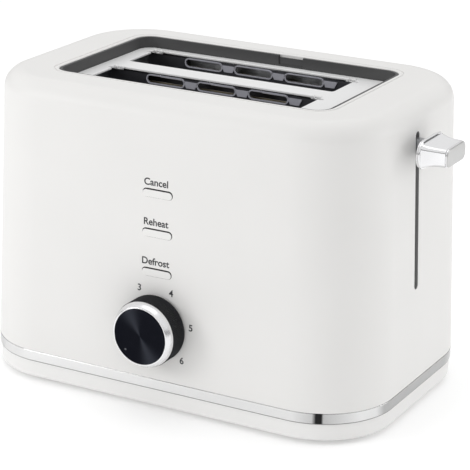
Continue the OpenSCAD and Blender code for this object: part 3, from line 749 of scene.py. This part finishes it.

# %% [markdown]
# ## The recess: collar, slot plate and guards
#
# A dark collar lines the recess. Its back wall is notched where a warming rack would hook in. The plate lies
# at its foot, with two long slots, and the sheet guards hang below the slots' edges. Their pill-shaped holes
# have rolled edges; these and small tabs between them are painted lighter than the sheet, a painted highlight.

# %% Collar
collar_wall = 1.8 * MM
collar_top = collar_high.z
foot_inset = 3 * MM
collar_outer_low = Vector((open_low.x + 0.2 * MM, open_low.y + 0.2 * MM, collar_low.z))
collar_outer_high = Vector((open_high.x - 0.2 * MM, open_high.y - 0.2 * MM, collar_top))
collar = hoop("collar_lining", collar_outer_low, collar_outer_high, open_radius - 0.2 * MM, collar_wall, 12,
              0.25 * MM)
notch_x = body_centre.x + 14.6 * MM
notch_half = 8.5 * MM
notch_drop = 1.5 * MM
cut(collar, block("notch", (notch_x - notch_half, open_high.y - 0.006, collar_top - notch_drop),
                  (notch_x + notch_half, open_high.y + 0.006, collar_top + 0.002)))
cut(collar, block("notch_step", (notch_x - notch_half, open_high.y - 0.006, plate_high.z + 0.9 * MM),
                  (notch_x + notch_half, open_high.y - 0.2 * MM - collar_wall * 0.55, collar_top + 0.002)))
ledge = hoop("ledge", (*(collar_outer_low.xy + Vector((1, 1)) * 0.5 * MM), collar_low.z),
             (*(collar_outer_high.xy - Vector((1, 1)) * 0.5 * MM), collar_low.z + MM),
             open_radius - 0.7 * MM, collar_wall + foot_inset - 0.5 * MM, 12, 0)
collar = join([collar, ledge], "collar_lining")
finish_piece(collar, collar_grey, "housing", ["top_collar"])

# %% Slot plate
slot_length, slot_width, slot_bar = 144 * MM, 33 * MM, 15 * MM
guard_low, guard_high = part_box("front_slot_inner_guard")
slot_x = (guard_low.x + guard_high.x) / 2
bar_y = (guard_low.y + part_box("rear_slot_inner_guard")[1].y) / 2
slot_centres = [bar_y - (slot_bar + slot_width) / 2, bar_y + (slot_bar + slot_width) / 2]
plate = rounded_block("slot_cover", plate_low, plate_high, open_radius - 2.2 * MM, "Z", 12)
for centre_y in slot_centres:
    low = (slot_x - slot_length / 2, centre_y - slot_width / 2, plate_low.z - MM)
    high = (slot_x + slot_length / 2, centre_y + slot_width / 2, plate_high.z + MM)
    cut(plate, rounded_block("slot", low, high, 2 * MM, "Z", 6))
    for side in (-1, 1):
        ear_x = slot_x + side * (slot_length / 2 + MM)
        ear_y = centre_y + slot_width / 2 - 4 * MM
        cut(plate, block("ear_hole", (ear_x - 2 * MM, ear_y - 1.5 * MM, plate_low.z - MM),
                         (ear_x + 2 * MM, ear_y + 1.5 * MM, plate_high.z + MM)))
plate_face = at_level("Z", plate_high.z)
round_edges(plate, lambda edge: steep(edge) and plate_face(edge), 0.5 * MM, 3)
finish_piece(plate, plate_silver, "housing", ["slot_plate"])


# %% Guards
def pill(name, centre, size, low_y, high_y):
    """A pill-shaped bar along Y."""
    x, z = centre
    half_x, half_z = size[0] / 2, size[1] / 2
    return rounded_block(name, (x - half_x, low_y, z - half_z), (x + half_x, high_y, z + half_z),
                         half_z - 0.1 * MM, "Y", 6)


def rolled_edge(centre, size, low_y, high_y):
    """The raised edge around one hole of a guard."""
    roll = 0.8 * MM
    outline = (size[0] + 2 * roll, size[1] + 2 * roll)
    return hollow(pill("roll", centre, outline, low_y, high_y), "Y", roll)


def guard(node, inward):
    """Sheet of a guard, and its rolled rims and tabs, painted lighter as a highlight, on the bread side that
    inward gives.
    """
    low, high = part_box(node)
    sheet = block("sheet", low, high)
    bread_side = high.y if inward > 0 else low.y
    roll_low, roll_high = sorted((bread_side, bread_side + inward * 0.7 * MM))
    rims = []
    for row in range(guard_rows + 1):
        centre = (slot_x - guard_pitch_x, high.z - 2.7 * MM - row * guard_pitch_z)
        size = (guard_pitch_x - 10 * MM, (12 if row else 4.6) * MM)
        hole = pill("hole", centre, size, low.y - MM, high.y + MM)
        for column in range(guard_columns):
            cut(sheet, copy_moved(hole, (column * guard_pitch_x, 0, 0), "hole"))
        bpy.data.objects.remove(hole)
        if row < 2:
            rims.append(rolled_edge(centre, size, roll_low, roll_high))
    tab_x = slot_x - guard_pitch_x / 2
    tab = block("tab", (tab_x - 5 * MM, roll_low, high.z - 5.2 * MM),
                (tab_x + 5 * MM, roll_high, high.z - 1.2 * MM))
    pick(tab, "FACE", lambda face: face.normal.z < -0.99)
    bpy.ops.transform.resize(value=(0.6, 1, 1), center_override=(tab_x, roll_low, high.z))
    bpy.ops.object.mode_set(mode="OBJECT")
    first = join(rims + [tab], "rims")
    others = [copy_moved(first, (column * guard_pitch_x, 0, 0), "rims") for column in range(1, guard_columns)]
    return sheet, join([first] + others, "rims")


guard_columns, guard_rows = 3, 6
guard_pitch_x, guard_pitch_z = slot_length / (guard_columns + 1), 21 * MM
slot_pitch = slot_centres[1] - slot_centres[0]
for inward, front, rear in ((1, "outer", "inner"), (-1, "inner", "outer")):
    sheet, rims = guard("front_slot_%s_guard" % front, inward)
    rear_pair = [copy_moved(piece, (0, slot_pitch, 0), piece.name) for piece in (sheet, rims)]
    for slot_name, side, pair in (("front", front, (sheet, rims)), ("rear", rear, rear_pair)):
        for piece, kind in zip(pair, ("sheet", "rims")):
            piece.name = "%s_%s_%s" % (slot_name, side, kind)
        finish_piece(pair[0], dark_guard, "housing", ["%s_slot_%s_guard" % (slot_name, side)],
                     weigh=False)
        finish_piece(pair[1], guard_painted_highlight, "housing", weigh=False)

# %% [markdown]
# The guards swing on wire pins, whose bright loops show at the far corners of each slot. One pin is made, and
# copied to the other three corners.

# %% Pins
pin_x = slot_x - slot_length / 2 + 3 * MM
pin_y = slot_centres[0] + slot_width / 2 - 1.3 * MM
loops = []
for step in (-1, 1):
    loop = rod("loop", (pin_x + step * 2.2 * MM, pin_y, plate_high.z - 0.3 * MM), 1.3 * MM, 2.6 * MM, "Y", 16)
    round_edges(loop, steep, 0.6 * MM, 3)
    loops.append(loop)
bar = rod("bar", (pin_x, pin_y, plate_high.z - 1.3 * MM), 0.5 * MM, 6 * MM, "X", 12)
pin = join(loops + [bar], "pin_front_left")
pins = [pin]
for name, across, back in (("front_right", 1, 0), ("rear_left", 0, 1), ("rear_right", 1, 1)):
    pins.append(copy_moved(pin, (across * (slot_length - 6 * MM), back * slot_pitch, 0), "pin_" + name))
for piece in pins:
    finish_piece(piece, plate_silver, "housing", weigh=False)

# %% [markdown]
# ## Keys
#
# Each key is a slim pill in a window of the panel. It hangs low and to the left in the window, so the gap
# shows as a dark line above it and to its right, darkened by painted shade on the window's walls and on the
# pill's sides. A lip behind the wall keeps it in, and a stem reaches for its switch.

# %% Three keys
key_proud = 0.05 * MM
key_gaps = Vector((0.25, 0.55)) * MM
lip_depth, lip_margin = 1.4 * MM, 1.5 * MM
for name, height in key_heights.items():
    key_low, key_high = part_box(name)
    face_y = front_wall(height) - key_proud
    lip_y = front_wall(height + key_size.y) + wall + 0.4 * MM
    low_x, high_x = panel_x - key_size.x / 2, panel_x + key_size.x / 2 - key_gaps.x
    low_z, high_z = height - key_size.y / 2, height + key_size.y / 2 - key_gaps.y
    cap = rounded_block(name + "_pill", (low_x, face_y, low_z), (high_x, lip_y, high_z),
                        key_size.y / 2 - 0.35 * MM, "Y", 10)
    round_edges(cap, at_level("Y", face_y), 0.12 * MM, 2)
    lip = rounded_block("lip", (low_x - lip_margin, lip_y, low_z - lip_margin),
                        (high_x + lip_margin, lip_y + lip_depth, high_z + lip_margin), 2 * MM, "Y", 6)
    stem = rod("stem", (panel_x, (lip_y + lip_depth + key_high.y) / 2, height), 2.3 * MM,
               key_high.y - lip_y - lip_depth, "Y", 24)
    key = finish_piece(join([cap, lip, stem], name + "_pill"), white_key, name, [name])
    # Painted shade: the pill's sides take the dark grey of the window walls.
    key.data.materials.append(painted_shade_grey)
    for face in key.data.polygons:
        if abs(face.normal.y) < 0.1:
            face.material_index = 1
print("keys:", len(key_heights))

# %% [markdown]
# ## Knob
#
# The knob is a finely ribbed black skirt, a sloping satin ring, and a dark face turned on a lathe. The ribs
# are made by drawing in every other upright edge of a many-sided cylinder. The ring and the face are turned
# with the spin operator, as on a lathe, from a profile drawn by extruding a single point.


# %% Lathe helper
def turned(name, profile, centre, steps):
    """Spins a profile of (radius, place along Y) pairs about the Y axis through centre."""
    clear_selection()
    points = [Vector(centre) + Vector((0, place, radius)) for radius, place in profile]
    bpy.ops.mesh.primitive_plane_add(size=MM, location=points[0])
    piece = bpy.context.object
    piece.name = name
    bpy.ops.object.transform_apply(location=True, rotation=True, scale=True)
    pick(piece, "VERT", lambda vertex: True)
    bpy.ops.mesh.merge(type="CENTER")
    for start, end in zip(points, points[1:]):
        bpy.ops.mesh.extrude_vertices_move(TRANSFORM_OT_translate={"value": end - start})
    bpy.ops.mesh.select_all(action="SELECT")
    bpy.ops.mesh.spin(steps=steps, angle=2 * math.pi, center=centre, axis=(0, 1, 0))
    bpy.ops.mesh.select_all(action="SELECT")
    bpy.ops.mesh.remove_doubles(threshold=0.005 * MM)
    bpy.ops.mesh.normals_make_consistent(inside=False)
    bpy.ops.object.mode_set(mode="OBJECT")
    return piece


# %% Knob
knob_low, knob_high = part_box("knob_body")
ring_low, ring_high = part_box("knob_ring")
face_low, face_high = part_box("knob_face")
knob_radius = (knob_high.x - knob_low.x) / 2
ribs = 120
skirt_back, skirt_front = knob_high.y, ring_high.y
skirt = rod("knob_skirt", (panel_x, (skirt_back + skirt_front) / 2, knob_axis.z), knob_radius,
            skirt_back - skirt_front, "Y", 2 * ribs)
round_edges(skirt, steep, 0.5 * MM, 2)


def in_groove(vertex):
    up, across = vertex.co.z - knob_axis.z, vertex.co.x - panel_x
    rib = round(math.atan2(up, across) / math.pi * ribs)
    return rib % 2 == 0 and math.hypot(up, across) > 0.9 * knob_radius


pick(skirt, "VERT", in_groove)
bpy.ops.transform.resize(value=(0.982, 1, 0.982), center_override=(panel_x, 0, knob_axis.z))
bpy.ops.object.mode_set(mode="OBJECT")
finish_piece(skirt, knob_black, "browning_knob", ["knob_body"], smooth=25)

ring_outer = (ring_high.x - ring_low.x) / 2
face_radius = (face_high.x - face_low.x) / 2
ring_length = ring_high.y - ring_low.y
lip = 0.8 * MM
bulge = 0.35 * MM
lip_radius = face_radius + lip
ring_profile = [
    (face_radius, 0.9 * MM), (face_radius, 0.15 * MM), (face_radius + 0.15 * MM, 0),
    (face_radius + 0.6 * MM, 0), (lip_radius, 0.12 * MM)]
slope = 10
for i in range(1, slope):
    share = i / slope
    bow = bulge * math.sin(math.pi * share)
    ring_profile.append((lip_radius + (ring_outer - lip_radius) * share + bow,
                         0.12 * MM + (ring_length - 0.3 * MM) * share))
ring_profile += [(ring_outer, ring_length - 0.15 * MM), (ring_outer - 0.15 * MM, ring_length),
                 (face_radius, ring_length), (face_radius, 0.9 * MM)]
ring = turned("knob_trim", ring_profile, (panel_x, ring_low.y, knob_axis.z), 128)
finish_piece(ring, satin_chrome, "browning_knob", ["knob_ring"], weigh=False)


def spun_black():
    """Black anodised face: finely turned rings as bumps, and two opposite fans of painted highlight in its
    base colour.
    """
    finish = Finish("spun_black")
    dx = finish.axis("X") - panel_x
    dz = finish.axis("Z") - knob_axis.z
    radius = (dx * dx + dz * dz + 1e-9) ** 0.5
    rings = (radius * (2 * math.pi / (0.45 * MM))).sine() * 0.5 + 0.5
    uneven = finish.add("ShaderNodeTexNoise", {"noise_dimensions": "1D"}, {
        "W": radius, "Scale": 2500.0}, only="Fac")
    # Painted highlight: the base colour is lighter in two opposite fans about an axis at 118 degrees.
    towards = (dx * math.cos(math.radians(118)) + dz * math.sin(math.radians(118))) / radius
    painted_fan = (towards * towards) ** 9.0
    dark, painted_highlight = (0.0035, 0.004, 0.007), (0.03, 0.033, 0.042)
    tone = finish.blend(painted_fan, dark, painted_highlight)
    finish.looks(Base_Color=finish.blend(uneven * 0.35, tone, (0.02, 0.021, 0.027)), Metallic=1.0,
                 Roughness=0.32 + 0.1 * uneven, Specular_IOR_Level=0.2)
    return finish.bumps(rings * 0.6 + uneven * 0.4, 0.01 * MM).material


face_profile = [
    (0.0, 0.25 * MM), (face_radius * 0.5, 0.22 * MM), (face_radius * 0.93, 0.1 * MM),
    (face_radius - 0.15 * MM, 0.0), (face_radius - 0.02 * MM, 0.12 * MM),
    (face_radius - 0.02 * MM, 1.1 * MM), (0.0, 1.1 * MM)]
disc = turned("knob_disc", face_profile, (panel_x, face_low.y, knob_axis.z), 128)
finish_piece(disc, spun_black(), "browning_knob", ["knob_face"], weigh=False)

dot_low, dot_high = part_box("knob_dot")
dot_centre = (dot_low + dot_high) / 2
dot_profile = [(0.0, 0.0), (0.5 * MM, 0.03 * MM), (0.9 * MM, 0.2 * MM), (0.9 * MM, MM), (0.0, MM)]
dot = turned("pointer_spot", dot_profile, (dot_centre.x, face_low.y + 0.02 * MM, dot_centre.z), 32)
pointer_grey = moulded("pointer_grey", (0.07, 0.075, 0.085), 0.35)
finish_piece(dot, pointer_grey, "browning_knob", ["knob_dot"], weigh=False)

# %% [markdown]
# ## Lever
#
# The lever is chrome plated: a shield of two layers that hides the track, a grip that narrows in a hollow
# curve, and a satin cap with a polished rim. The grip is a block cut into bands along its length, and each
# band is drawn in by its share of the curve.

# %% Shield of the lever
flange_low, flange_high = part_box("lever_flange")
grip_low, grip_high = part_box("lever_grip")
cap_low, cap_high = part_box("lever_cap")
lever_y = (flange_low.y + flange_high.y) / 2
split_x = flange_low.x + (flange_high.x - flange_low.x) * 0.42
edge_inset = Vector((0, 0.5, 0.5)) * MM
back_plate = rounded_block("lever_shield", flange_low + edge_inset, (split_x, *(flange_high - edge_inset).yz),
                           7.5 * MM, "X", 14)
round_edges(back_plate, steep, 0.4 * MM, 3)
front_plate = rounded_block("front_plate", (split_x, *flange_low.yz), flange_high, 8 * MM, "X", 14)
round_edges(front_plate, steep, 0.55 * MM, 4)
shield = join([back_plate, front_plate], "lever_shield")
finish_piece(shield, chrome, "carriage", ["lever_flange"])

# %% Grip of the lever
grip = rounded_block("lever_handle", grip_low, grip_high, 3.2 * MM, "X", 8)
pick(grip, "EDGE", along("X"))
bpy.ops.mesh.subdivide(number_cuts=13)
bpy.ops.object.mode_set(mode="OBJECT")
end = cap_high - cap_low
root = grip_high - grip_low
waist = 0.15 * MM
for x in sorted({round(v.co.x, 6) for v in grip.data.vertices}):
    share = (x - grip_low.x) / (grip_high.x - grip_low.x)
    left_over = max(0, 1 - share) ** 2.6
    wide = end.y + (root.y - end.y) * left_over - waist * math.sin(math.pi * share)
    tall = end.z + (root.z - end.z) * left_over - waist * math.sin(math.pi * share)
    pick(grip, "VERT", at_level("X", x))
    bpy.ops.transform.resize(value=(1, wide / root.y, tall / root.z), center_override=(x, lever_y, lever_z))
bpy.ops.object.mode_set(mode="OBJECT")
finish_piece(grip, chrome, "carriage", ["lever_grip"], smooth=40)

# %% Cap of the lever
rim = rounded_block("lever_rim", cap_low, (cap_low.x + 0.9 * MM, *cap_high.yz), 4 * MM, "X", 12)
round_edges(rim, steep, 0.3 * MM, 3)
finish_piece(rim, chrome, "carriage", ["lever_cap"])
plate_inset = Vector((0, 0.25, 0.25)) * MM
end_plate = rounded_block("lever_end", (cap_low.x + 0.7 * MM, *(cap_low + plate_inset).yz),
                          (cap_high.x, *(cap_high - plate_inset).yz), 3.8 * MM, "X", 12)
round_edges(end_plate, at_level("X", cap_high.x), 0.35 * MM, 3)
finish_piece(end_plate, lever_silver, "carriage", weigh=False)

# %% [markdown]
# ## Printing
#
# The panel is pad printed: a word over each key and the browning scale around the knob. Each word is a text
# object, made into a mesh and laid on the leaning panel.

# %% Words and numbers
ink = moulded("ink", (0.03, 0.03, 0.034), 0.5)


def printed(name, words, x, z, height):
    """Flat lettering on the panel, centred on x and z."""
    clear_selection()
    bpy.ops.object.text_add()
    text = bpy.context.object
    text.data.body = words
    text.data.size = height
    text.data.extrude = 0.02 * MM
    text.data.offset = 0.02 * height
    text.data.align_x, text.data.align_y = "CENTER", "CENTER"
    bpy.ops.object.convert(target="MESH")
    mark = bpy.context.object
    mark.name = name
    mark.rotation_euler = (math.pi / 2 - panel_tilt, 0, 0)
    mark.location = (x, front_wall(z) - 0.03 * MM, z)
    bpy.ops.object.transform_apply(location=True, rotation=True, scale=True)
    return finish_piece(mark, ink, "housing", weigh=False)


for name, words in (("cancel_key", "Cancel"), ("reheat_key", "Reheat"), ("defrost_key", "Defrost")):
    printed(words.lower() + "_label", words, panel_x - 0.9 * MM, key_heights[name] + 6.6 * MM, 6.0 * MM)
scale_places = {1: (225, 25.6), 2: (171, 24.2), 3: (117, 25.6), 4: (66, 25), 5: (9, 24.2), 6: (-45, 25.6)}
for number, (degrees, radius) in scale_places.items():
    angle = math.radians(degrees)
    printed("scale_%d" % number, str(number), panel_x + radius * MM * math.cos(angle),
            knob_axis.z + radius * MM * math.sin(angle), 5.8 * MM)

# %% [markdown]
# ## Finishes of the frame's own nodes
#
# What is left of the frame keeps its shape and gets a finish of its own.

# %% Finish the remaining nodes
node_finishes = {
    "rubber_feet": rubber, "base_screws": zinc, "left_frame": galvanised, "right_frame": galvanised,
    "front_reflector": galvanised, "rear_reflector": galvanised, "front_heater": mica, "middle_heater": mica,
    "rear_heater": mica, "front_element": ribbon, "middle_element": ribbon, "rear_element": ribbon,
    "top_guide_bracket": galvanised, "bottom_guide_bracket": galvanised, "guide_rods": turned_steel,
    "rod_nuts": zinc, "magnet_core": core_iron, "magnet_coil": copper_wire, "mains_switch": black_moulding,
    "control_board": board_green, "timer_chip": black_moulding, "relay": relay_blue,
    "capacitors": sleeve_black, "key_switches": black_moulding, "browning_control": zinc,
    "control_nut": zinc, "cord_gland": black_moulding,
    "terminal_block": nylon, "carriage_plate": galvanised, "front_bread_rest": galvanised,
    "rear_bread_rest": galvanised, "latch_keeper": core_iron, "lift_spring": turned_steel,
    "lever_arm": galvanised, "control_shaft": turned_steel, "cancel_plunger": plunger_red,
    "reheat_plunger": plunger_red, "defrost_plunger": plunger_red, "crumb_tray": tinned,
    "crumb_tray_handle": white_base_lifted,
}
for name, material in node_finishes.items():
    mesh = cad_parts[name].data
    mesh.materials.clear()
    mesh.materials.append(material)
print("nodes finished:", len(node_finishes))

# %% [markdown]
# ## Floor
#
# The toaster stands on a plain pale floor, wide enough to pass out of view.

# %% Floor
clear_selection()
bpy.ops.mesh.primitive_plane_add(size=12, location=(0, 0, 0))
floor = bpy.context.object
floor.name = "floor"
pale = Finish("pale_floor")
mottle = pale.noise(3, 2)
pale.looks(Base_Color=pale.blend(mottle, (0.93, 0.93, 0.93), (0.96, 0.96, 0.96)), Roughness=0.6,
           Emission_Color=(1, 1, 1), Emission_Strength=0.16)
floor.data.materials.append(pale.material)
